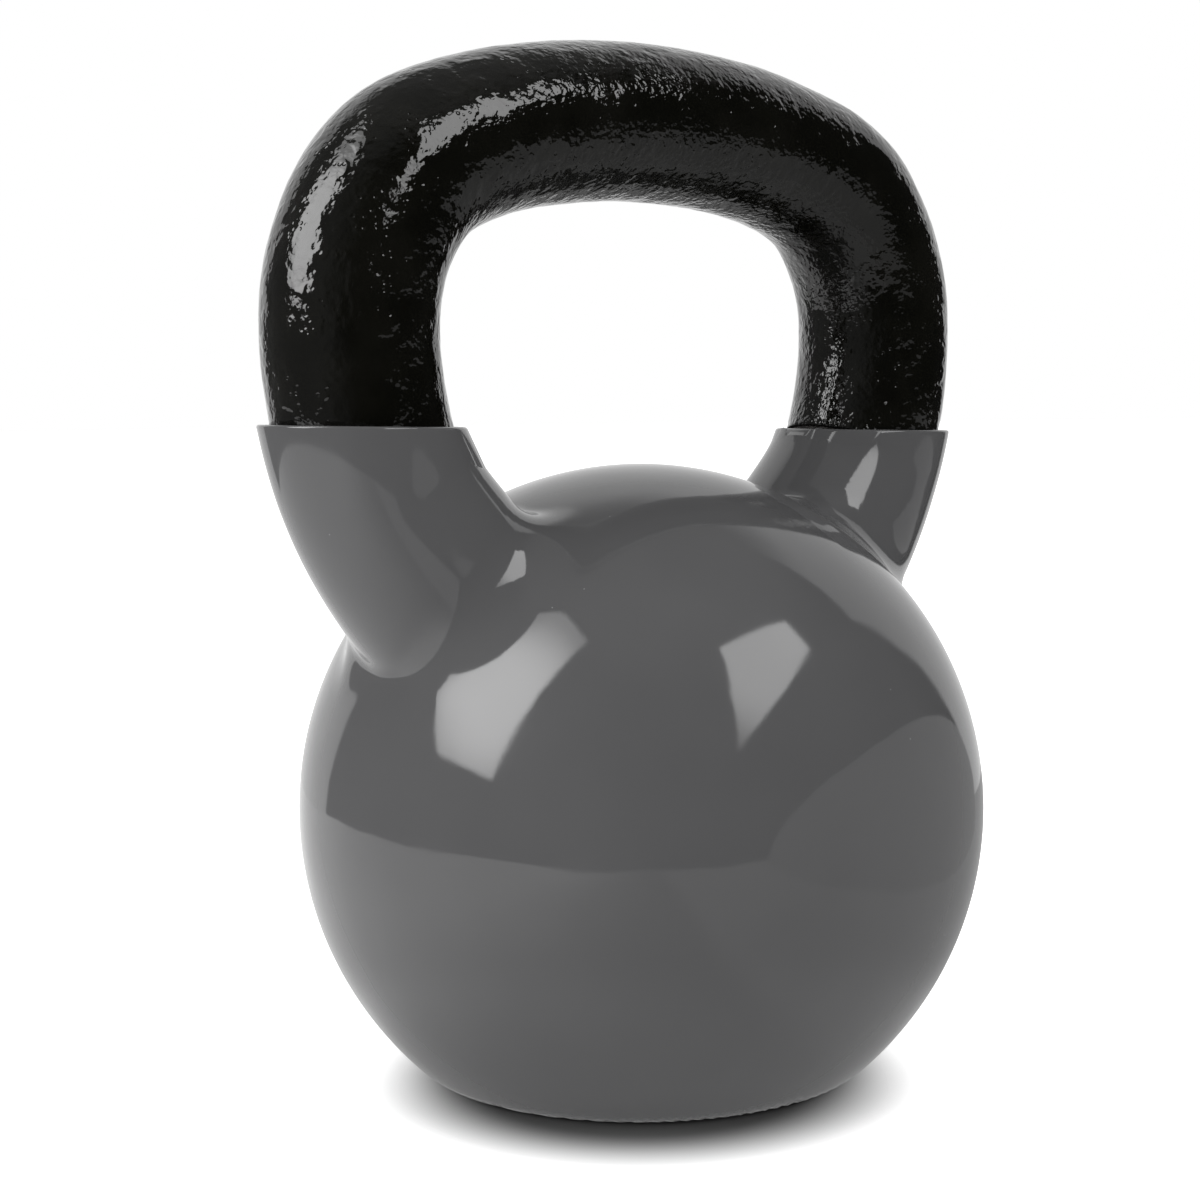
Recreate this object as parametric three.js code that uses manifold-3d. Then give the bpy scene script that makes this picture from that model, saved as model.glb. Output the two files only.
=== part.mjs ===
// A vinyl-dipped cast-iron kettlebell, 12 kg, standing on its flat base.
// Millimetres, +Z up. The origin is the middle of the base, on the floor, and the handle spans X.
import * as THREE from "three";
import { mergeVertices } from "three/addons/utils/BufferGeometryUtils.js";
import Module from "manifold-3d";

// Driving dimensions
const BELL_R = 73; // bell over its vinyl
const BELL_Z = 55; // bell centre above the floor, which sets the width of the flat base
const BASE_EDGE_R = 5; // rounding where the bell turns into its flat base
const GRIP_R = 16.3; // enamelled handle at its top
const LEG_R = 17.5; // enamelled handle at its legs
const ROOT_R = 19; // horn where it runs into the bell
const GRIP_DEPTH = 1.033; // depth over width of the handle's section at its top
const LEG_DEPTH = 0.955; // the same at its legs
const FILM = 0.4; // enamel on the bare handle
const VINYL_STEP = 2.5; // how far the vinyl stands proud of the enamel at its rim
const GAP = 0.3; // clearance between neighbouring pieces
const DIP_Z = 135.7; // height of the dip line in the middle plane
const DIP_SLANT = 1.7; // degrees that the dip line falls towards +X
const FLARE = 25; // height over which a horn widens into the bell

// Centreline of half the handle: distance from the middle plane, height above the floor
const HALF_HANDLE = [
  [0, 199.2],
  [40.5, 194.3],
  [60.3, 184.5],
  [70.9, 162.6],
  [65.7, 127],
  [44.8, 97.9],
];

// Worked-out sizes
const VINYL = VINYL_STEP + FILM; // wall of the vinyl coat
const IRON_BELL_R = BELL_R - VINYL - GAP;
const IRON_INSET = FILM + GAP; // the iron lies this far under the enamelled surface
const COAT_INSIDE = GAP; // the coat's inner face stands this far off the iron

const RADIAL = 20;
const STEPS = 36;
const BELL_SEGMENTS = 40;

const wasm = await Module();
wasm.setup();

const halfRight = HALF_HANDLE.map(([x, z]) => new THREE.Vector3(x, 0, z));
const halfLeft = HALF_HANDLE.slice(1)
  .reverse()
  .map(([x, z]) => new THREE.Vector3(-x, 0, z));
const centreline = new THREE.CatmullRomCurve3([...halfLeft, ...halfRight]);

function toSolid(geometry) {
  const plain = geometry.clone();
  plain.deleteAttribute("normal");
  plain.deleteAttribute("uv");
  const merged = mergeVertices(plain, 1e-4);
  return new wasm.Manifold(
    new wasm.Mesh({
      numProp: 3,
      vertProperties: new Float32Array(merged.attributes.position.array),
      triVerts: new Uint32Array(merged.index.array),
    }),
  );
}

function toMesh(name, solid, material) {
  const data = solid.getMesh();
  const geometry = new THREE.BufferGeometry();
  geometry.setAttribute("position", new THREE.BufferAttribute(data.vertProperties, 3));
  geometry.setIndex(new THREE.BufferAttribute(data.triVerts, 1));
  geometry.computeVertexNormals();
  const mesh = new THREE.Mesh(geometry, material);
  mesh.name = name;
  return mesh;
}

// Half width and half depth of the enamelled handle at a point of its centreline
function handleSection(point) {
  const { lerp, smoothstep } = THREE.MathUtils;
  const [cornerX, cornerZ] = HALF_HANDLE[3];
  const side = point.z < cornerZ ? 1 : smoothstep(Math.abs(point.x), cornerX / 2, cornerX);
  const low = smoothstep(HALF_HANDLE[4][1] - point.z, 0, FLARE);
  const width = lerp(lerp(GRIP_R, LEG_R, side), ROOT_R, low);
  const depth = width * lerp(lerp(GRIP_DEPTH, LEG_DEPTH, side), 1, low);
  return { width, depth };
}

// The handle and its horns as one bar bent along the centreline, grown by an offset
function handleBar(offset) {
  const bar = new THREE.CylinderGeometry(1, 1, 1, RADIAL, STEPS);
  const at = bar.attributes.position;
  const across = new THREE.Vector3(0, 1, 0);
  const v = new THREE.Vector3();
  for (let i = 0; i < at.count; i++) {
    v.fromBufferAttribute(at, i);
    const t = THREE.MathUtils.clamp(v.y + 0.5, 0, 1);
    const point = centreline.getPointAt(t);
    const tangent = centreline.getTangentAt(t);
    const outward = new THREE.Vector3().crossVectors(across, tangent);
    const { width, depth } = handleSection(point);
    point.addScaledVector(outward, v.x * (width + offset));
    point.addScaledVector(across, -v.z * (depth + offset));
    at.setXYZ(i, point.x, point.y, point.z);
  }
  const solid = toSolid(bar);
  if (solid.volume() < 0) throw new Error("the handle bar is inside out");
  return solid;
}

// The bell: a ball turned into a flat base through a small rounding, as a profile about Z
function bell(radius, baseZ) {
  const edgeR = BASE_EDGE_R - baseZ;
  const edgeZ = baseZ + edgeR;
  const edgeX = Math.sqrt((radius - edgeR) ** 2 - (edgeZ - BELL_Z) ** 2);
  const meet = Math.atan2(edgeZ - BELL_Z, edgeX);
  const profile = [new THREE.Vector2(0, baseZ)];
  const edgeSteps = 3;
  for (let i = 0; i <= edgeSteps; i++) {
    const a = THREE.MathUtils.lerp(-Math.PI / 2, meet, i / edgeSteps);
    profile.push(new THREE.Vector2(edgeX + edgeR * Math.cos(a), edgeZ + edgeR * Math.sin(a)));
  }
  const ballSteps = 16;
  for (let i = 1; i < ballSteps; i++) {
    const a = THREE.MathUtils.lerp(meet, Math.PI / 2, i / ballSteps);
    profile.push(new THREE.Vector2(radius * Math.cos(a), BELL_Z + radius * Math.sin(a)));
  }
  profile.push(new THREE.Vector2(0, BELL_Z + radius));
  const turned = new THREE.LatheGeometry(profile, BELL_SEGMENTS);
  turned.rotateX(Math.PI / 2);
  return toSolid(turned);
}

// Everything on one side of the slanted dip line, a given distance above it
function pastDipLine(above, distance) {
  const size = 400;
  const block = new THREE.BoxGeometry(size, size, size);
  block.translate(0, 0, above ? size / 2 : -size / 2);
  block.rotateY(THREE.MathUtils.degToRad(DIP_SLANT));
  block.translate(0, 0, DIP_Z + distance);
  return toSolid(block);
}

const ironBell = bell(IRON_BELL_R, VINYL + GAP);
const iron = ironBell.add(handleBar(-IRON_INSET));

const coatOuter = bell(BELL_R, 0).add(handleBar(VINYL_STEP)).intersect(pastDipLine(false, 0));
const coatInner = bell(IRON_BELL_R + COAT_INSIDE, VINYL).add(handleBar(COAT_INSIDE - IRON_INSET));
const coat = coatOuter.subtract(coatInner);

const film = handleBar(0)
  .subtract(handleBar(-FILM))
  .intersect(pastDipLine(true, GAP));

const ironFinish = new THREE.MeshStandardMaterial({ color: 0x3a3a3c, roughness: 0.7, metalness: 0.8 });
const vinylFinish = new THREE.MeshStandardMaterial({ color: 0x57575a, roughness: 0.22, metalness: 0 });
const enamelFinish = new THREE.MeshStandardMaterial({ color: 0x0e0e0c, roughness: 0.25, metalness: 0 });

const kettlebell = new THREE.Group();
kettlebell.add(toMesh("iron_casting", iron, ironFinish));
kettlebell.add(toMesh("vinyl_coat", coat, vinylFinish));
kettlebell.add(toMesh("handle_enamel", film, enamelFinish));

export default kettlebell;
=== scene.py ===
# A vinyl-dipped cast-iron kettlebell: grey vinyl coat, black enamelled handle, on a white studio floor.
import math

import bpy
import numpy as np
from mathutils import Matrix, Vector, noise


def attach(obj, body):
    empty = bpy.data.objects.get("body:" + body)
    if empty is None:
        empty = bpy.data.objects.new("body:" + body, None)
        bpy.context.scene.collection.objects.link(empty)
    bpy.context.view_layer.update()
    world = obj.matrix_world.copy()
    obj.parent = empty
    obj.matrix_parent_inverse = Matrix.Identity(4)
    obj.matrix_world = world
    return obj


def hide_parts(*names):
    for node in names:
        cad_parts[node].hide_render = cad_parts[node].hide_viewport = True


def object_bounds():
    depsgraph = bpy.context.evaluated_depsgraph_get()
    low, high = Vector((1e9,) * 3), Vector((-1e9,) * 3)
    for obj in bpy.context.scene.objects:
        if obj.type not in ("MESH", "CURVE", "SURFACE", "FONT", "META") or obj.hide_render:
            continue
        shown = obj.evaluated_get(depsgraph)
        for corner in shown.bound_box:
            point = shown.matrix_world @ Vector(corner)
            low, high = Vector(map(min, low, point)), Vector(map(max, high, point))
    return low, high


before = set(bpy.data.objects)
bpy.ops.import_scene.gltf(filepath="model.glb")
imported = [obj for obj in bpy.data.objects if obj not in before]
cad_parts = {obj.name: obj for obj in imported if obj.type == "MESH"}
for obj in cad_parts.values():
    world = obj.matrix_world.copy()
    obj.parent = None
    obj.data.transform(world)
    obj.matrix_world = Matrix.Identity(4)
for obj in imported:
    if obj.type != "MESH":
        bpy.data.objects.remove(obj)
cad_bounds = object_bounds()

MM = 0.001

# Sizes of the kettlebell in millimetres, the same as the CAD source has
BELL_R = 73.0
BELL_Z = 55.0
GRIP_R = 16.3
LEG_R = 17.5
ROOT_R = 19.0
GRIP_DEPTH = 1.033  # depth over width of the bar's section at the grip
LEG_DEPTH = 0.955  # and down the legs
FLARE = 25.0  # height over which the legs widen into the roots
VINYL_STEP = 2.5
DIP_Z = 135.7
DIP_SLANT = math.radians(1.7)
HALF_HANDLE = np.array(
    [(0, 199.2), (40.5, 194.3), (60.3, 184.5), (70.9, 162.6), (65.7, 127), (44.8, 97.9)]
)

# Blends in millimetres, which the CAD leaves plain
FILLET_FRONT = 10.5
FILLET_SIDE = 3.0
FILLET_TURN = (4, 18)  # |y| over which the side fillet turns into the front one
BASE_ROUND = 1.3
LIP_ROUND = 0.6

CURVE_STEP = 0.6  # spacing of the points on the handle's centreline


def smoothstep(x, low, high):
    """0 up to low, 1 from high on, and smooth between."""
    t = np.clip((x - low) / (high - low), 0, 1)
    return t * t * (3 - 2 * t)


# ---------------------------------------------------------------- handle centreline


def centripetal_curve(points, steps):
    """Centripetal Catmull-Rom curve through points."""
    out = []
    ends = np.vstack([2 * points[0] - points[1], points, 2 * points[-1] - points[-2]])
    t = np.linspace(0, 1, steps, endpoint=False)[:, None]
    for p0, p1, p2, p3 in zip(ends, ends[1:], ends[2:], ends[3:]):
        d0, d1, d2 = (math.sqrt(math.dist(a, b)) for a, b in ((p0, p1), (p1, p2), (p2, p3)))
        m1 = ((p1 - p0) / d0 - (p2 - p0) / (d0 + d1) + (p2 - p1) / d1) * d1
        m2 = ((p2 - p1) / d1 - (p3 - p1) / (d1 + d2) + (p3 - p2) / d2) * d1
        c2 = -3 * p1 + 3 * p2 - 2 * m1 - m2
        c3 = 2 * p1 - 2 * p2 + m1 + m2
        out.append(p1 + m1 * t + c2 * t**2 + c3 * t**3)
    return np.vstack([*out, points[-1:]])


def evenly(points, step):
    """The same curve with points a fixed distance apart."""
    along = np.concatenate([[0], np.cumsum(np.hypot(*np.diff(points, axis=0).T))])
    at = np.linspace(0, along[-1], int(along[-1] / step) + 1)
    return np.stack([np.interp(at, along, c) for c in points.T], 1)


def section(x, z):
    """Radius in the plane of the handle, and depth over radius, at points of the centreline."""
    corner_x, corner_z = HALF_HANDLE[3]
    side = np.where(z < corner_z, 1.0, smoothstep(np.abs(x), corner_x / 2, corner_x))
    low = smoothstep(HALF_HANDLE[4][1] - z, 0, FLARE)
    radius = GRIP_R + (LEG_R - GRIP_R) * side
    radius = radius + (ROOT_R - radius) * low
    depth = GRIP_DEPTH + (LEG_DEPTH - GRIP_DEPTH) * side
    depth = depth + (1 - depth) * low
    return radius, depth


mirrored = HALF_HANDLE[:0:-1] * [-1, 1]
whole = centripetal_curve(np.vstack([mirrored, HALF_HANDLE]), 40)
whole = evenly(whole, CURVE_STEP)
half = whole[(whole[:, 0] > 30) & (whole[:, 1] < DIP_Z + 12)]  # one leg, to a little above the dip
half_tangent = np.gradient(half, axis=0)
half_tangent /= np.linalg.norm(half_tangent, axis=1)[:, None]
half_radius, half_depth = section(half[:, 0], half[:, 1])
half_slope = np.gradient(half_radius) / CURVE_STEP


# ---------------------------------------------------------------- the shape as a distance field


BATCH = 8000  # points measured at once, to save memory
REACH = (30.0, 130.0)  # the surface lies between these distances from the bell's centre
HALVINGS = 7  # steps that halve a search range
SECANTS = 5  # steps that then close in on the surface

bell_centre = np.array([0, 0, BELL_Z])


def bar_field(p, grow):
    """Distance from points with x >= 0 to the bar of the handle, grown by grow."""
    out = np.empty(len(p))
    for start in range(0, len(p), BATCH):
        q = p[start : start + BATCH]
        dx = q[:, 0, None] - half[:, 0]
        dz = q[:, 2, None] - half[:, 1]
        d = np.sqrt(dx**2 + dz**2 + (q[:, 1, None] / half_depth) ** 2) - half_radius
        i = d.argmin(1)
        row = np.arange(len(q))
        dx, dz = dx[row, i], dz[row, i]
        along = dx * half_tangent[i, 0] + dz * half_tangent[i, 1]
        along = np.clip(along, -CURVE_STEP, CURVE_STEP)
        dx = dx - along * half_tangent[i, 0]
        dz = dz - along * half_tangent[i, 1]
        y = q[:, 1] / half_depth[i]
        radius = half_radius[i] + half_slope[i] * along
        out[start : start + BATCH] = np.sqrt(dx**2 + dz**2 + y**2) - radius
    return out - grow


def smooth_min(a, b, k):
    """The smaller of a and b, rounded where they are within k of each other."""
    h = np.clip(k - np.abs(a - b), 0, None) / k
    return np.minimum(a, b) - h * h * k / 4


def casting_field(p, grow):
    """Distance to the bell with its flat base and horns. The vinyl's outside is at grow 0."""
    ball = np.linalg.norm(p - bell_centre, axis=1) - BELL_R - grow
    bar = bar_field(p, VINYL_STEP + grow)
    k = FILLET_SIDE + (FILLET_FRONT - FILLET_SIDE) * smoothstep(np.abs(p[:, 1]), *FILLET_TURN)
    joined = smooth_min(ball, bar, k)
    base = -grow - p[:, 2]
    return -smooth_min(-joined, -base, BASE_ROUND)


def along_rays(direction, side, grow):
    """Where rays from the bell's centre leave the part of the shape that is under the dip line."""
    low, high = (np.full(len(direction), reach) for reach in REACH)

    def field(reach):
        p = bell_centre + direction * reach[:, None]
        return np.maximum(casting_field(p, grow), p[:, 2] - dip_height(p[:, 0], side))

    for _ in range(HALVINGS):
        mid = (low + high) / 2
        inside = field(mid) < 0
        low, high = np.where(inside, mid, low), np.where(inside, high, mid)
    at_low, at_high = field(low), field(high)
    for _ in range(SECANTS):
        mid = low - at_low * (high - low) / (at_high - at_low)
        here = field(mid)
        inside = here < 0
        low, high = np.where(inside, mid, low), np.where(inside, high, mid)
        at_low, at_high = np.where(inside, here, at_low / 2), np.where(inside, at_high / 2, here)
    return bell_centre + direction * mid[:, None]


# ---------------------------------------------------------------- vinyl coat

COLUMNS = 192
OUTER_RINGS = 120
INNER_RINGS = 36
INNER_DEPTH = 7.0  # how far down the horns the inner wall is its own strip
HORN_TILT = math.radians(50)  # how far up from the bell's centre the horns leave it
HORN_SEARCH = 40.0  # a horn's surface lies nearer than this to its centreline
HORN_HALVINGS = 24
RING_PASSES = 5  # rounds that settle the spacing of the rings

# From the lip's top over its inner edge and down the inner wall: growth over the bar, and depth
LIP_WALL = ((1.2, 0.02), (0.5, 0.08), (0.2, 0.25), (0.05, 0.6), (0, 3), (0, INNER_DEPTH))


def dip_height(x, side):
    """Height of the dip line at x on the right half (side 1) or on the left half turned over (side -1)."""
    return DIP_Z - math.tan(DIP_SLANT) * side * x


def dip_loop(side, grow, below, angle):
    """A closed loop round the horn, in a plane parallel to the dip line."""
    drop = half[:, 1] - (dip_height(half[:, 0], side) - below)
    i = np.flatnonzero((half[:, 0] > 40) & (drop < 0))[0]
    centre = np.array([half[i, 0], 0, dip_height(half[i, 0], side) - below])
    outward = np.array([math.cos(DIP_SLANT), 0, -side * math.sin(DIP_SLANT)])
    ray = np.cos(angle)[:, None] * outward + np.sin(angle)[:, None] * np.array([0, 1.0, 0])
    low, high = np.zeros(len(angle)), np.full(len(angle), HORN_SEARCH)
    for _ in range(HORN_HALVINGS):
        mid = (low + high) / 2
        inside = bar_field(centre + ray * mid[:, None], grow) < 0
        low, high = np.where(inside, mid, low), np.where(inside, high, mid)
    return centre + ray * low[:, None]


def sheet_rings(first, angle, side, rings, grow, fine, coarse):
    """Rings of points over one half of the shape, from a loop round its horn to the middle plane.

    Their spacing is coarse on the bell and fine where the surface stands proud of it.
    """
    begin = first - bell_centre
    begin /= np.linalg.norm(begin, axis=1)[:, None]
    horn = np.array([math.cos(HORN_TILT), 0, math.sin(HORN_TILT)])
    down = np.array([horn[2], 0, -horn[0]])
    turn = np.cos(angle)[:, None] * down + np.sin(angle)[:, None] * np.array([0, 1.0, 0])
    reach = np.arctan2(horn[0], -turn[:, 0])[:, None]
    end = np.cos(reach) * horn + np.sin(reach) * turn
    end[:, 0] = 0
    end /= np.linalg.norm(end, axis=1)[:, None]
    sweep = np.arccos(np.clip((begin * end).sum(1), -1, 1))[:, None]
    share = np.tile(np.linspace(0, 1, rings + 1), (len(angle), 1))
    for attempt in range(RING_PASSES):
        a = np.sin((1 - share) * sweep)[..., None] * begin[:, None]
        b = np.sin(share * sweep)[..., None] * end[:, None]
        direction = (a + b) / np.sin(sweep)[..., None]
        points = along_rays(direction.reshape(-1, 3), side, grow).reshape(direction.shape)
        points[:, 0] = first
        if attempt == RING_PASSES - 1:
            return points.transpose(1, 0, 2)
        middle = (points[:, 1:] + points[:, :-1]) / 2
        proud = np.linalg.norm(middle - bell_centre, axis=2) - BELL_R - grow
        spacing = coarse + (fine - coarse) * smoothstep(proud, 0.0, 0.6)
        length = np.linalg.norm(np.diff(points, axis=1), axis=2) / spacing
        run = np.concatenate([np.zeros((len(angle), 1)), np.cumsum(length, 1)], 1)
        run /= run[:, -1:]
        want = np.linspace(0, 1, rings + 1)
        share = np.array([np.interp(want, r, s) for r, s in zip(run, share)])


def coat_half(side):
    """All rings of one half of the coat, from inside at the middle plane, over the rim, to outside."""
    angle = np.linspace(0, 2 * math.pi, COLUMNS, endpoint=False)
    lip = []
    for a in np.linspace(0, math.pi / 2, 5):
        grow = VINYL_STEP - LIP_ROUND + LIP_ROUND * math.cos(a)
        lip.append(dip_loop(side, grow, LIP_ROUND * (1 - math.sin(a)), angle))
    for grow, below in LIP_WALL:
        lip.append(dip_loop(side, grow, below, angle))
    outer = sheet_rings(lip[0], angle, side, OUTER_RINGS, 0, fine=0.75, coarse=1.6)
    inner = sheet_rings(lip[-1], angle, side, INNER_RINGS, -VINYL_STEP, fine=2, coarse=5)
    rings = np.concatenate([inner[::-1], np.array(lip[::-1])[1:], outer[1:]])
    rings[..., 0] *= side
    return rings


def grid_faces(rows, columns, flip):
    """Quads of a grid of rows of vertices that close on themselves."""
    r, c = np.meshgrid(np.arange(rows - 1), np.arange(columns), indexing="ij")
    n = (c + 1) % columns
    quads = np.stack([r * columns + c, r * columns + n, (r + 1) * columns + n, (r + 1) * columns + c], -1)
    quads = quads.reshape(-1, 4)
    return quads[:, ::-1] if flip else quads


def make_object(name, points, faces):
    """A smooth object from points in millimetres."""
    mesh = bpy.data.meshes.new(name)
    mesh.from_pydata((points * MM).tolist(), [], [list(map(int, f)) for f in faces])
    mesh.validate()
    mesh.polygons.foreach_set("use_smooth", [True] * len(mesh.polygons))
    piece = bpy.data.objects.new(name, mesh)
    bpy.context.scene.collection.objects.link(piece)
    return piece


def make_coat():
    """The coat's two halves, which share their points in the middle plane."""
    halves = [coat_half(1), coat_half(-1)]
    rows = len(halves[0])
    points = np.vstack([half_points.reshape(-1, 3) for half_points in halves])
    left = np.arange(rows * COLUMNS) + rows * COLUMNS
    left[:COLUMNS] = np.arange(COLUMNS)
    left[-COLUMNS:] = np.arange(COLUMNS) + (rows - 1) * COLUMNS
    faces = np.vstack([grid_faces(rows, COLUMNS, False), left[grid_faces(rows, COLUMNS, True)]])
    used = np.unique(faces)
    compact = np.zeros(len(points), int)
    compact[used] = np.arange(len(used))
    return make_object("vinyl_coat_skin", points[used], outward(points[used], compact[faces]))


def outward(points, faces):
    """The faces, turned round if they point into the solid."""
    a, b, c, d = (points[faces[:, i]] for i in range(4))
    volume = (np.cross(b - a, c - a) * a).sum() + (np.cross(c - a, d - a) * a).sum()
    return faces if volume > 0 else faces[:, ::-1]


# ---------------------------------------------------------------- enamelled handle

FILM = 0.4  # thickness
AROUND = 168  # points round the bar
ALONG_STEP = 0.66  # and between points along it
UNDER_RIM = 6.0  # how far the enamel runs under the vinyl
COARSE = 4  # the film's inner face has this many times fewer points each way
PITS = 90


def fractal(points, size, octaves, seed):
    """Smooth noise about -1 to 1, whose features are about size millimetres across."""
    shift = Vector((seed * 17.3, seed * 9.1, seed * 5.7))
    return np.array([noise.fractal(Vector(p) / size + shift, 0.9, 2.1, octaves) for p in points.tolist()])


def cast_relief(points):
    """Height in millimetres of the as-cast skin under the enamel."""
    broad = fractal(points, 22, 2, 1) * 0.15
    dents = fractal(points, 7.5, 2, 2) * 0.07
    peel = fractal(points, 1.9, 2, 3) * 0.04
    rng = np.random.default_rng(7)
    pits = np.zeros(len(points))
    for _ in range(PITS):
        centre = points[rng.integers(len(points))]
        size = rng.uniform(0.8, 2.6)
        depth = rng.uniform(0.06, 0.2)
        d2 = ((points - centre) ** 2).sum(1) / size**2
        pits -= depth * np.exp(-d2 * 1.5)
    return broad + dents + peel + pits


def bar_grid(line, columns, grow):
    """Points round a bar along line, and their outward directions."""
    tangent = np.gradient(line, axis=0)
    tangent /= np.linalg.norm(tangent, axis=1)[:, None]
    radius, depth = section(line[:, 0], line[:, 1])
    angle = np.linspace(0, 2 * math.pi, columns, endpoint=False)
    ca, sa = np.cos(angle)[None, :, None], np.sin(angle)[None, :, None]
    side = np.stack([-tangent[:, 1], np.zeros(len(line)), tangent[:, 0]], 1)[:, None, :]
    across = np.array([0, 1.0, 0])[None, None, :]
    r = (radius + grow)[:, None, None]
    b = (radius * depth + grow)[:, None, None]
    centre = np.stack([line[:, 0], np.zeros(len(line)), line[:, 1]], 1)[:, None, :]
    points = centre + side * ca * r + across * sa * b
    normal = side * ca / r + across * sa / b
    normal /= np.linalg.norm(normal, axis=2)[..., None]
    return points, normal


def make_enamel():
    """The film over the handle, a tube with an outer face, an inner face and two ends."""
    drop = whole[:, 1] - dip_height(whole[:, 0], 1)
    shown = np.flatnonzero(drop > -UNDER_RIM)
    line = evenly(whole[shown[0] : shown[-1] + 1], ALONG_STEP)
    line = line[: (len(line) - 1) // COARSE * COARSE + 1]
    outer, normal = bar_grid(line, AROUND, 0)
    outer = outer.reshape(-1, 3)
    outer = outer + normal.reshape(-1, 3) * cast_relief(outer)[:, None]
    inner, _ = bar_grid(line[::COARSE], AROUND // COARSE, -FILM)
    rows, inner_rows, inner_columns = len(line), len(line[::COARSE]), AROUND // COARSE
    faces = grid_faces(rows, AROUND, True).tolist()
    first = rows * AROUND
    faces += (grid_faces(inner_rows, inner_columns, False) + first).tolist()
    for out_row, in_row, flip in ((0, 0, False), (rows - 1, inner_rows - 1, True)):
        for j in range(inner_columns):
            a = first + in_row * inner_columns + j
            b = first + in_row * inner_columns + (j + 1) % inner_columns
            rim = [out_row * AROUND + (j * COARSE + k) % AROUND for k in range(COARSE + 1)]
            end = [*rim, b, a]
            faces.append(end[::-1] if flip else end)
    points = np.vstack([outer, inner.reshape(-1, 3)])
    return make_object("handle_enamel_film", points, faces)


coat = make_coat()
enamel = make_enamel()


# ---------------------------------------------------------------- materials


class Nodes:
    """A small helper that adds and links shader nodes."""

    def __init__(self, tree, coordinate="Object"):
        self.tree = tree
        self.place = self.add("ShaderNodeTexCoord").outputs[coordinate]

    def add(self, kind, **settings):
        node = self.tree.nodes.new(kind)
        for key, value in settings.items():
            setattr(node, key, value)
        return node

    def link(self, source, target):
        if hasattr(source, "is_output"):
            self.tree.links.new(source, target)
        else:
            target.default_value = source

    def noise(self, size_mm, detail=2.0, rough=0.5, distortion=0.0):
        """Smooth noise whose features are about size_mm across."""
        node = self.add("ShaderNodeTexNoise")
        self.link(self.place, node.inputs["Vector"])
        node.inputs["Scale"].default_value = 1 / (size_mm * MM)
        node.inputs["Detail"].default_value = detail
        node.inputs["Roughness"].default_value = rough
        node.inputs["Distortion"].default_value = distortion
        return node.outputs["Fac"]

    def cells(self, size_mm, feature="F1", smooth=None):
        """Distance to the nearest of scattered points, about size_mm apart."""
        node = self.add("ShaderNodeTexVoronoi", feature=feature)
        self.link(self.place, node.inputs["Vector"])
        node.inputs["Scale"].default_value = 1 / (size_mm * MM)
        if smooth is not None:
            node.inputs["Smoothness"].default_value = smooth
        return node.outputs["Distance"]

    def ramp(self, value, low, high, to_low=0.0, to_high=1.0):
        """A smooth step from to_low at low to to_high at high."""
        node = self.add("ShaderNodeMapRange", clamp=True, interpolation_type="SMOOTHSTEP")
        self.link(value, node.inputs["Value"])
        for key, number in (("From Min", low), ("From Max", high), ("To Min", to_low), ("To Max", to_high)):
            node.inputs[key].default_value = number
        return node.outputs["Result"]

    def math(self, operation, a, b):
        node = self.add("ShaderNodeMath", operation=operation)
        self.link(a, node.inputs[0])
        self.link(b, node.inputs[1])
        return node.outputs[0]

    def mix(self, share, a, b):
        node = self.add("ShaderNodeMix", data_type="RGBA")
        self.link(share, node.inputs["Factor"])
        self.link(a, node.inputs["A"])
        self.link(b, node.inputs["B"])
        return node.outputs["Result"]

    def bump(self, height, depth_mm, before=None):
        """Bumps of a height that is 1 for depth_mm, on top of the bumps before."""
        node = self.add("ShaderNodeBump")
        node.inputs["Distance"].default_value = depth_mm * MM
        self.link(height, node.inputs["Height"])
        if before is not None:
            self.link(before, node.inputs["Normal"])
        return node.outputs["Normal"]

    def vector(self, operation, other):
        """A vector operation between the place and a fixed vector."""
        node = self.add("ShaderNodeVectorMath", operation=operation)
        self.link(self.place, node.inputs[0])
        node.inputs[1].default_value = other
        return node

    def along(self, direction):
        """How far the place lies in a direction."""
        return self.vector("DOT_PRODUCT", direction).outputs["Value"]

    def away_from(self, point):
        """How far the place lies from a point, in metres."""
        return self.vector("DISTANCE", point).outputs["Value"]


def new_material(name):
    """A node helper for a new material, with its shader and the material itself."""
    material = bpy.data.materials.new(name)
    material.use_nodes = True
    n = Nodes(material.node_tree)
    n.shader = n.tree.nodes["Principled BSDF"]
    n.material = material
    return n


def grey(value):
    return value, value, value, 1


def vinyl_material():
    """Smooth grey vinyl with faint clouds, dust specks, shallow waves and a scuffed base edge."""
    n = new_material("grey_vinyl")
    cloud = n.ramp(n.noise(40, 2), 0.3, 0.7)
    tone = n.mix(cloud, (0.070, 0.070, 0.0715, 1), (0.076, 0.076, 0.0775, 1))
    dust = n.ramp(n.cells(9), 0.012, 0.02, 1, 0)
    tone = n.mix(n.math("MULTIPLY", dust, 0.5), tone, grey(0.3))
    low = n.ramp(n.along((0, 0, 1)), 0.001, 0.006, 1, 0)
    scuff = n.math("MULTIPLY", low, n.ramp(n.noise(2.5, 4, 0.65), 0.5, 0.68))
    tone = n.mix(n.math("MULTIPLY", scuff, 0.12), tone, grey(0.12))
    n.link(tone, n.shader.inputs["Base Color"])
    rough = n.ramp(n.noise(15, 3), 0.3, 0.7, 0.05, 0.085)
    rough = n.math("ADD", rough, n.math("MULTIPLY", scuff, 0.2))
    n.link(rough, n.shader.inputs["Roughness"])
    wave = n.bump(n.noise(26, 1.5), 0.30)
    ripple = n.bump(n.noise(7, 1), 0.02, wave)
    fine = n.bump(n.noise(0.9, 2), 0.0025, ripple)
    n.link(fine, n.shader.inputs["Normal"])
    n.shader.inputs["IOR"].default_value = 1.5
    return n.material


WINDOW_MIDDLE = (0, 0, 152.0 * MM)  # middle of the grip window


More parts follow.
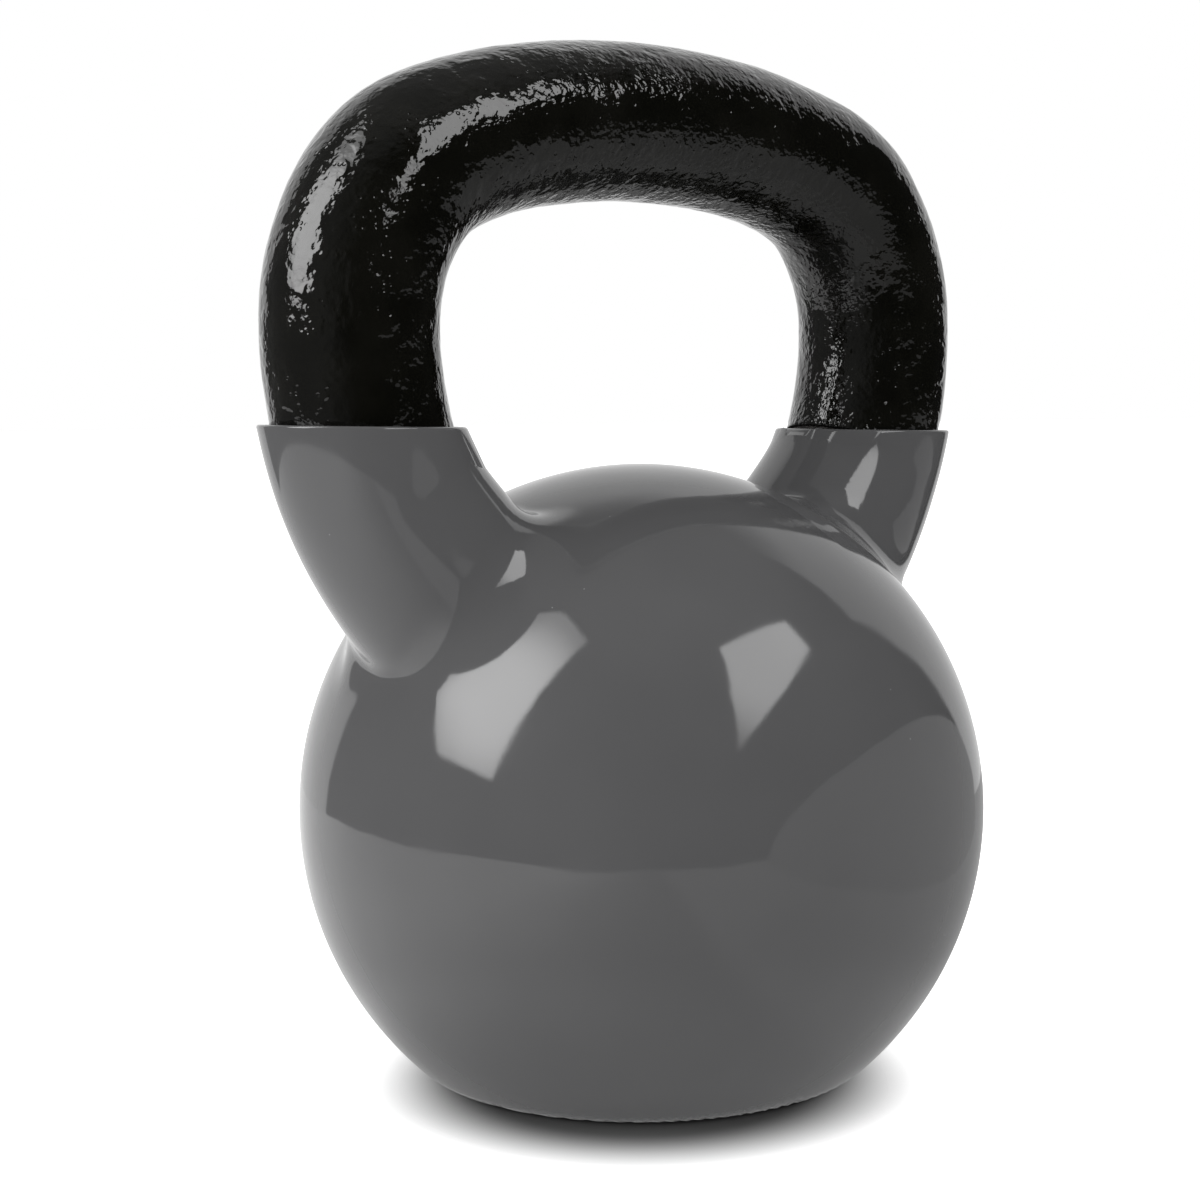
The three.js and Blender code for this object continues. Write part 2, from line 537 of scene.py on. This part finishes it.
def enamel_material():
    """Black enamel over the casting's grain, which is coarsest round the grip window."""
    n = new_material("black_enamel")
    cloud = n.ramp(n.noise(12, 3), 0.35, 0.7)
    tone = n.mix(cloud, (0.0018, 0.0018, 0.0012, 1), (0.0036, 0.0035, 0.0026, 1))
    n.link(tone, n.shader.inputs["Base Color"])
    rough = n.ramp(n.noise(5, 4, 0.6), 0.3, 0.75, 0.03, 0.08)
    n.link(rough, n.shader.inputs["Roughness"])
    coarse = n.ramp(n.away_from(WINDOW_MIDDLE), 0.046, 0.075, 1.0, 0.3)
    coarse = n.math("MULTIPLY", coarse, n.ramp(n.noise(9, 2), 0.35, 0.65, 0.55, 1.3))
    wrinkle = n.bump(n.math("MULTIPLY", n.noise(1.5, 2, 0.55, 0.3), coarse), 0.24)
    grain = n.bump(n.math("MULTIPLY", n.cells(0.9, "SMOOTH_F1", 0.5), coarse), 0.09, wrinkle)
    pitted = n.ramp(n.noise(6, 2), 0.48, 0.62)
    pits = n.bump(n.math("MULTIPLY", n.ramp(n.cells(1.5), 0.1, 0.34), pitted), 0.08, grain)
    peel = n.bump(n.cells(1.6, "SMOOTH_F1", 0.8), 0.04, pits)
    lumps = n.bump(n.noise(3, 2), 0.1, peel)
    n.link(lumps, n.shader.inputs["Normal"])
    n.shader.inputs["IOR"].default_value = 1.5
    return n.material


def iron_material():
    """Rough as-cast iron."""
    n = new_material("cast_iron")
    tone = n.mix(n.noise(3, 5, 0.6), (0.03, 0.03, 0.032, 1), (0.075, 0.07, 0.065, 1))
    n.link(tone, n.shader.inputs["Base Color"])
    n.shader.inputs["Metallic"].default_value = 0.8
    n.link(n.ramp(n.noise(1.5, 4), 0.3, 0.7, 0.55, 0.8), n.shader.inputs["Roughness"])
    n.link(n.bump(n.noise(0.8, 5, 0.6), 0.3), n.shader.inputs["Normal"])
    return n.material


def wear(piece, material):
    piece.data.materials.clear()
    piece.data.materials.append(material)


wear(coat, vinyl_material())
wear(enamel, enamel_material())
wear(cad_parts["iron_casting"], iron_material())

for piece, node, slot in (
    (coat, "vinyl_coat", "grey_vinyl"),
    (enamel, "handle_enamel", "black_enamel"),
):
    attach(piece, "root")
    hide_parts(node)


# ---------------------------------------------------------------- camera

CAMERA_TURN = math.radians(39.9)  # how far round from the handle's front the camera stands
CAMERA_AWAY = 0.4767  # level distance from the kettlebell's axis, in metres
CAMERA_HEIGHT = 0.148
CAMERA_DOWN = math.radians(5.87)
CAMERA_PAN = math.radians(0.99)
CAMERA_ROLL = math.radians(0.63)
CAMERA_LENS = 67.25

back = Vector((math.sin(CAMERA_TURN), math.cos(CAMERA_TURN), 0))  # level, away from the camera
right = Vector((math.cos(CAMERA_TURN), -math.sin(CAMERA_TURN), 0))
ahead = (back * math.cos(CAMERA_PAN) - right * math.sin(CAMERA_PAN)).normalized()
across = ahead.cross(Vector((0, 0, 1))).normalized()
sight = ahead * math.cos(CAMERA_DOWN) - Vector((0, 0, math.sin(CAMERA_DOWN)))
upward = across.cross(sight).normalized()
rolled = across * math.cos(CAMERA_ROLL) - upward * math.sin(CAMERA_ROLL)
upright = upward * math.cos(CAMERA_ROLL) + across * math.sin(CAMERA_ROLL)

lens = bpy.data.cameras.new("camera")
lens.lens = CAMERA_LENS
lens.sensor_width = 36
lens.clip_start = 0.01
camera = bpy.data.objects.new("camera", lens)
turn = Matrix((rolled, upright, -sight)).transposed()
camera.matrix_world = Matrix.Translation(Vector((0, 0, CAMERA_HEIGHT)) - back * CAMERA_AWAY) @ turn.to_4x4()
bpy.context.scene.collection.objects.link(camera)
bpy.context.scene.camera = camera


# ---------------------------------------------------------------- studio

# Distances in metres
LIGHT_AWAY = 1.5
BOX_AWAY = 0.8  # how near the softboxes' faces stand, as reflections show them
REFLECTOR_AWAY = 0.27
FLOOR_GAP = 0.0001  # how far the paper lies under the base
PAINTED_SHADOW_AHEAD = 0.019  # how far towards the camera the middle of the painted contact shadow lies
PAINTED_SHADOW_FADE = (0.034, 0.061)  # the painted contact shadow fades between these distances from its middle
BURNT_OUT = (0.034, 0.072)  # and the paper burns out to white between these

# Half sizes in millimetres
TABLE_HALF_WIDTH = 470.0
TABLE_HALF_DEPTH = 400.0
REFLECTOR_HALF = (90, 280, 130)

DOME_LOW, DOME_HIGH = 0.55, 0.8  # even light on diffuse surfaces, from below and from above
BOX_MARGIN = 1.08  # the softboxes' faces are this much larger than the light on them
FLOOR_SPOKES = 96
REFLECTOR_ROWS, REFLECTOR_COLUMNS = 32, 64

# Corners as azimuth and elevation, in degrees
LEFT_BOX = ((-151, 63), (-94, 68), (-98, 26), (-108, 15), (-131, 13))
RIGHT_BOX = ((90, 52), (94, 43), (119, 37), (146, 24), (136, 57))
WALL = ((-57, -20), (-60, 20), (-74, 56), (-50, 68), (30, 67), (72, 42), (47, 7), (32, -14))


def towards(azimuth, elevation):
    """A direction. Azimuth is in degrees from straight behind the kettlebell round to the right."""
    a, e = math.radians(azimuth), math.radians(elevation)
    return (right * math.sin(a) + back * math.cos(a)) * math.cos(e) + Vector((0, 0, math.sin(e)))


def add_light(name, azimuth, elevation, width, height, radiance):
    """A rectangular soft light. Glossy surfaces see the softbox's face instead."""
    data = bpy.data.lights.new(name, "AREA")
    data.shape = "RECTANGLE"
    data.size = width
    data.size_y = height
    data.energy = radiance * math.pi * width * height
    light = bpy.data.objects.new(name, data)
    way = towards(azimuth, elevation)
    light.location = Vector(bell_centre * MM) + way * LIGHT_AWAY
    light.rotation_mode = "QUATERNION"
    light.rotation_quaternion = way.to_track_quat("Z", "Y")
    light.visible_glossy = False
    bpy.context.scene.collection.objects.link(light)


def card(n, corners, soft):
    """Mask of a soft-edged card, from the directions of its corners in turn."""
    ways = [towards(*corner) for corner in corners]
    middle = sum(ways, Vector()).normalized()
    share = 1.0
    for a, b in zip(ways, ways[1:] + ways[:1]):
        edge = a.cross(b).normalized()
        if edge.dot(middle) < 0:
            edge = -edge
        share = n.math("MULTIPLY", share, n.ramp(n.along(edge), -soft, soft))
    return share


def studio_brightness(n):
    """What a glossy surface sees far off in the room: the back wall and a dim ceiling."""
    rightward, above = n.along(right), n.along((0, 0, 1))
    wall = n.math("MULTIPLY", card(n, WALL, 0.02), n.ramp(above, 0.68, 0.88, 1.0, 0.15))
    wall = n.math("MULTIPLY", wall, n.ramp(rightward, -0.6, 0.4, 1.05, 0.85))
    ceiling = n.ramp(above, 0.6, 0.95, 0.0, 0.22)
    room = n.ramp(rightward, -0.5, 0.3, 0.18, 0.02)
    return n.math("MAXIMUM", n.math("MAXIMUM", wall, ceiling), room)


def make_world():
    """White all round for the camera, even light for diffuse surfaces, the room for glossy ones."""
    world = bpy.data.worlds.new("studio")
    world.use_nodes = True
    bpy.context.scene.world = world
    n = Nodes(world.node_tree, "Generated")
    output = n.tree.nodes["World Output"]
    sky = n.tree.nodes["Background"]
    path = n.add("ShaderNodeLightPath")
    even = n.ramp(n.along((0, 0, 1)), -0.5, 1, DOME_LOW, DOME_HIGH)
    room = n.add("ShaderNodeMix")
    n.link(path.outputs["Is Glossy Ray"], room.inputs[0])
    n.link(even, room.inputs[2])
    n.link(studio_brightness(n), room.inputs[3])
    shown = n.add("ShaderNodeMix")
    n.link(path.outputs["Is Camera Ray"], shown.inputs[0])
    n.link(room.outputs[0], shown.inputs[2])
    shown.inputs[3].default_value = 1
    sky.inputs["Color"].default_value = (1, 1, 1, 1)
    n.link(shown.outputs[0], sky.inputs["Strength"])
    n.link(sky.outputs[0], output.inputs["Surface"])


def floor_material():
    """Pale paper, burnt out to white for the camera a little way from the kettlebell.

    For all other rays it glows on the left, faintly on the right, and close round the base.
    """
    n = new_material("pale_floor")
    path = n.add("ShaderNodeLightPath")
    away = n.away_from(-back * PAINTED_SHADOW_AHEAD)
    rightward = n.along(right)
    seen = path.outputs["Is Camera Ray"]
    tone = n.mix(n.noise(60, 2), grey(0.74), grey(0.76))
    # Painted reflection: glossy surfaces see the paper at a darker grey than the camera does.
    tone = n.mix(path.outputs["Is Glossy Ray"], tone, grey(0.25))
    # Painted contact shadow: for the camera, the paper's colour is darkened close round the base.
    painted_shadow = n.math("MULTIPLY", seen, n.ramp(away, *PAINTED_SHADOW_FADE, 1, 0))
    tone = n.mix(painted_shadow, tone, grey(0.1))
    n.link(tone, n.shader.inputs["Base Color"])
    n.shader.inputs["Roughness"].default_value = 0.9
    n.shader.inputs["Specular IOR Level"].default_value = 0.1
    lit = n.math("ADD", n.ramp(rightward, -0.16, 0.03, 0.85, 0), n.ramp(rightward, 0.03, 0.05, 0, 0.2))
    lit = n.math("MULTIPLY", lit, n.ramp(away, 0.04, 0.08))
    lit = n.math("ADD", lit, n.ramp(away, 0.045, 0.11, 0.26, 0))
    glow = n.add("ShaderNodeMix")
    n.link(seen, glow.inputs[0])
    n.link(lit, glow.inputs[2])
    n.link(n.ramp(away, *BURNT_OUT), glow.inputs[3])
    n.shader.inputs["Emission Color"].default_value = (1, 1, 1, 1)
    n.link(glow.outputs[0], n.shader.inputs["Emission Strength"])
    return n.material


def only_light(n, strength):
    """Turn a new material into one that gives light and nothing else."""
    n.shader.inputs["Base Color"].default_value = grey(0)
    n.shader.inputs["Specular IOR Level"].default_value = 0
    n.shader.inputs["Emission Color"].default_value = grey(1)
    n.link(strength, n.shader.inputs["Emission Strength"])
    return n.material


def reflections_only(piece):
    """Staging that only glossy surfaces show."""
    piece.visible_camera = False
    piece.visible_diffuse = False
    piece.visible_shadow = False
    piece.visible_transmission = False


def make_softbox(name, corners, soft, brightest, falloff, dimmest):
    """A softbox's face, from the directions of its corners as the bell mirrors them.

    It stands near, so the handle sees it lower than the bell does.
    """
    ways = [towards(*corner) for corner in corners]
    middle = sum(ways, Vector()).normalized()
    seen_from = Vector(bell_centre * MM) + (middle - sight).normalized() * BELL_R * MM
    face = [middle + (way - middle) * BOX_MARGIN for way in ways]
    points = [seen_from + way * BOX_AWAY for way in [middle, *face]]
    fan = [(0, 1 + k, 1 + (k + 1) % len(face)) for k in range(len(face))]
    box = make_object(name, np.array(points) / MM, fan)
    n = new_material(name)
    n.place = n.vector("SUBTRACT", seen_from).outputs["Vector"]
    n.place = n.vector("NORMALIZE", (0, 0, 0)).outputs["Vector"]
    light = n.math("MULTIPLY", card(n, corners, soft), n.ramp(n.along(towards(*brightest)), *falloff))
    wear(box, only_light(n, n.math("MAXIMUM", light, dimmest)))
    reflections_only(box)


def make_reflector():
    """A low pale ellipsoid on the right."""
    turn = np.linspace(0, 2 * math.pi, REFLECTOR_COLUMNS, endpoint=False)[None, :]
    rise = np.linspace(-math.pi / 2 + 0.01, math.pi / 2 - 0.01, REFLECTOR_ROWS)[:, None]
    ball = np.stack([np.cos(rise) * np.cos(turn), np.cos(rise) * np.sin(turn), np.sin(rise) + 0 * turn], -1)
    faces = grid_faces(REFLECTOR_ROWS, REFLECTOR_COLUMNS, False)
    reflector = make_object("reflector", ball.reshape(-1, 3) * REFLECTOR_HALF, faces)
    reflector.location = towards(100, 0) * REFLECTOR_AWAY
    reflector.rotation_euler.z = math.atan2(-right.y, -right.x)
    wear(reflector, only_light(new_material("reflector"), 0.4))
    reflections_only(reflector)


def make_floor(name, shares, material):
    """A flat oval ring of floor, as shares of the table's half width and half depth."""
    angle = np.linspace(0, 2 * math.pi, FLOOR_SPOKES, endpoint=False)[:, None]
    oval = np.cos(angle) * TABLE_HALF_WIDTH * np.array(right)
    oval = oval + np.sin(angle) * TABLE_HALF_DEPTH * np.array(back)
    rings = np.vstack([oval * share for share in shares])
    floor = make_object(name, rings, grid_faces(len(shares), FLOOR_SPOKES, True))
    floor.location.z = cad_bounds[0].z - FLOOR_GAP
    wear(floor, material)
    return floor


add_light("softbox_left", -122, 38, 0.75, 1.35, 3.6)
add_light("softbox_right", 122, 42, 0.75, 0.96, 3.4)
make_world()
make_softbox("softbox_left_face", LEFT_BOX, 0.02, (-124, 36), (0.86, 0.995, 2.6, 8), 0.15)
make_softbox("softbox_right_face", RIGHT_BOX, 0.014, (112, 50), (0.8, 0.97, 1.8, 5), 0.05)
make_reflector()
paper = floor_material()
make_floor("table", np.linspace(0.002, 1, 18), paper)
surround = make_floor("floor", np.geomspace(1, 14, 12), paper)
surround.visible_glossy = False
bpy.context.scene.view_settings.view_transform = "Standard"
